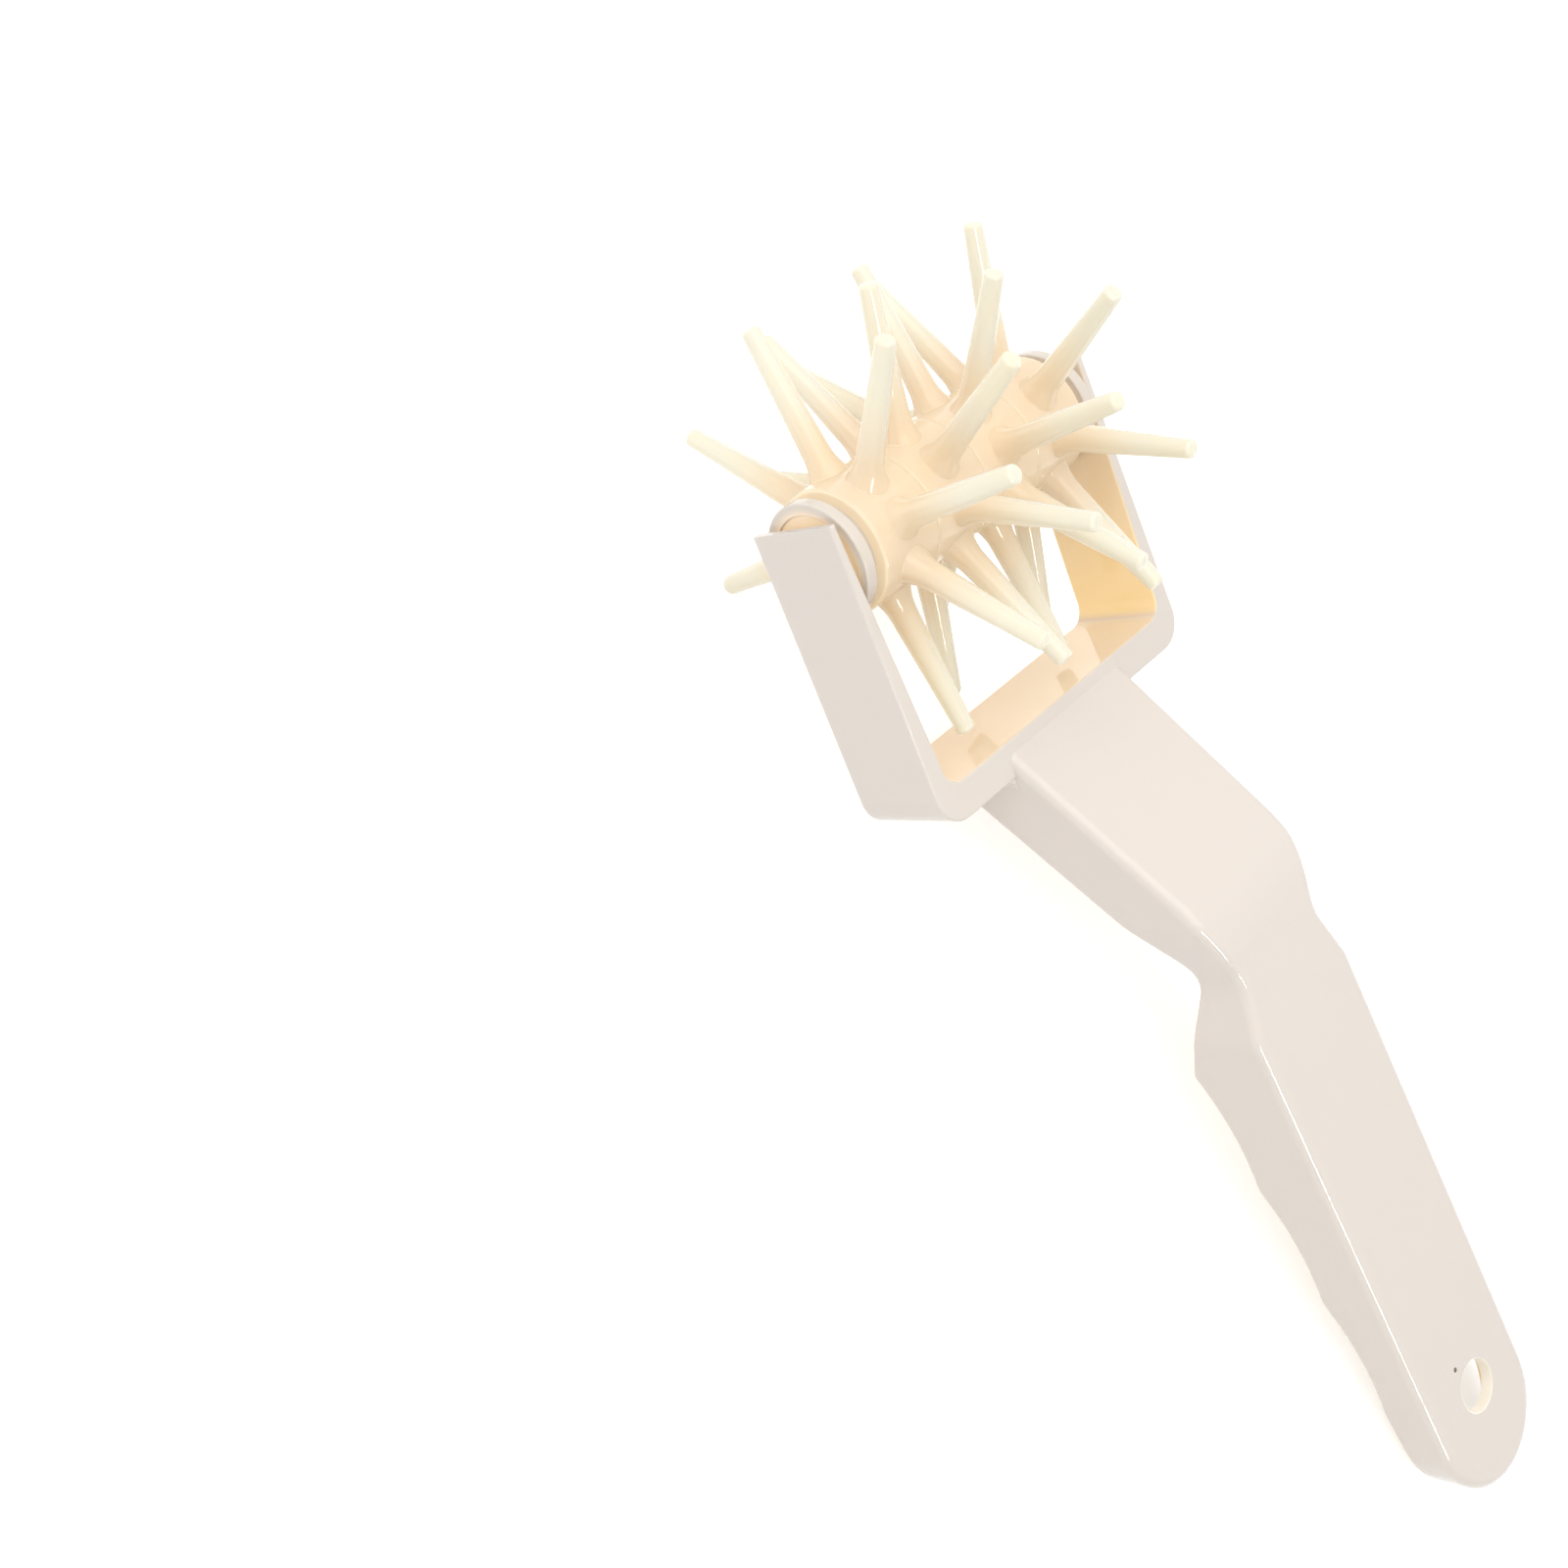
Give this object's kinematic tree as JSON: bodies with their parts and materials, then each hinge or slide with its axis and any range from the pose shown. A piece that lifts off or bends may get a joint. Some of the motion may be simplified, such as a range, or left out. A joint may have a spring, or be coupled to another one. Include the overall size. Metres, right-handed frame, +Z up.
{
  "type": "dough docker",
  "caption": "Hand dough docker: a free-turning roller of staggered tapered spikes in a plastic yoke with a cranked, hollow-backed handle and a hanging hole.",
  "frame": {"origin": "on the table under the middle of the part's box, with the docker lying on its spikes and on the rim of its tail", "axes": "+X along the tool from the roller to the tail, +Y along the roller's axis towards the right cap, +Z up"},
  "size_m": [0.2206, 0.0636, 0.0663],
  "materials": {
    "handle_plastic": "smooth glossy cream-white moulded plastic",
    "roller_plastic": "smooth glossy cream moulded plastic, slightly translucent",
    "cap_plastic": "smooth glossy cream-white moulded plastic",
    "core_plastic": "plain cream plastic, hidden inside the roller"
  },
  "bodies": {
    "handle": {"handle_frame": "handle_plastic"},
    "roller": {"roller_core": "core_plastic", "end_cap_left": "cap_plastic", "end_cap_right": "cap_plastic", "spike_ring_1": "roller_plastic", "spike_ring_2": "roller_plastic", "spike_ring_3": "roller_plastic", "spike_ring_4": "roller_plastic"}
  },
  "joints": [
    {"name": "roller_spin", "type": "hinge", "parent": "handle", "child": "roller", "pos_m": [-0.07716, 0, 0.03314], "axis": [0, 1, 0], "continuous": true}
  ]
}
